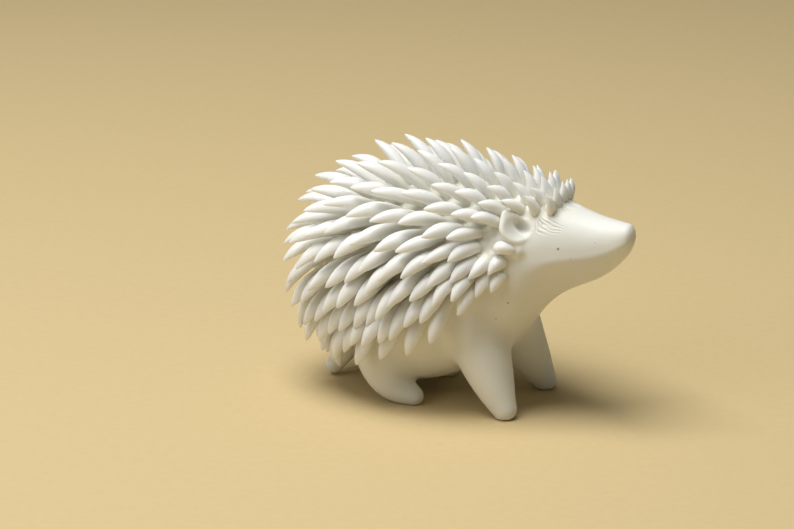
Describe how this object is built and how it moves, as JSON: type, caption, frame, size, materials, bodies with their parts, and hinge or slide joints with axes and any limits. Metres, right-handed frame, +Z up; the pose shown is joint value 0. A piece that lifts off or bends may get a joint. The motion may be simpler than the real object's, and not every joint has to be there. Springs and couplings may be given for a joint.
{
  "type": "hedgehog figurine",
  "caption": "Small standing hedgehog figurine in off-white clay, with a bare pointed face, cupped ears, stub feet and a coat of plump quills swept back over the body.",
  "frame": {"origin": "on the ground, under the middle of the figure", "axes": "+X towards the nose, +Y to the animal's left, +Z up"},
  "size_m": [0.0597, 0.0325, 0.0417],
  "materials": {
    "clay": "satin baked clay, off-white",
    "quill_clay": "satin baked clay, off-white"
  },
  "bodies": {
    "root": {"body": "clay", "front_right_leg": "clay", "front_left_leg": "clay", "rear_right_leg": "clay", "rear_left_leg": "clay", "tail": "clay", "right_ear": "clay", "left_ear": "clay", "ear_stubs": "quill_clay", "quill_row_01": "quill_clay", "quill_row_02": "quill_clay", "quill_row_03": "quill_clay", "quill_row_04": "quill_clay", "quill_row_05": "quill_clay", "quill_row_06": "quill_clay", "quill_row_07": "quill_clay", "quill_row_08": "quill_clay", "quill_row_09": "quill_clay", "quill_row_10": "quill_clay", "quill_row_11": "quill_clay", "quill_row_12": "quill_clay", "quill_row_13": "quill_clay", "quill_row_14": "quill_clay", "quill_row_15": "quill_clay", "quill_row_16": "quill_clay", "quill_row_17": "quill_clay", "quill_row_18": "quill_clay", "quill_row_19": "quill_clay"}
  },
  "joints": []
}
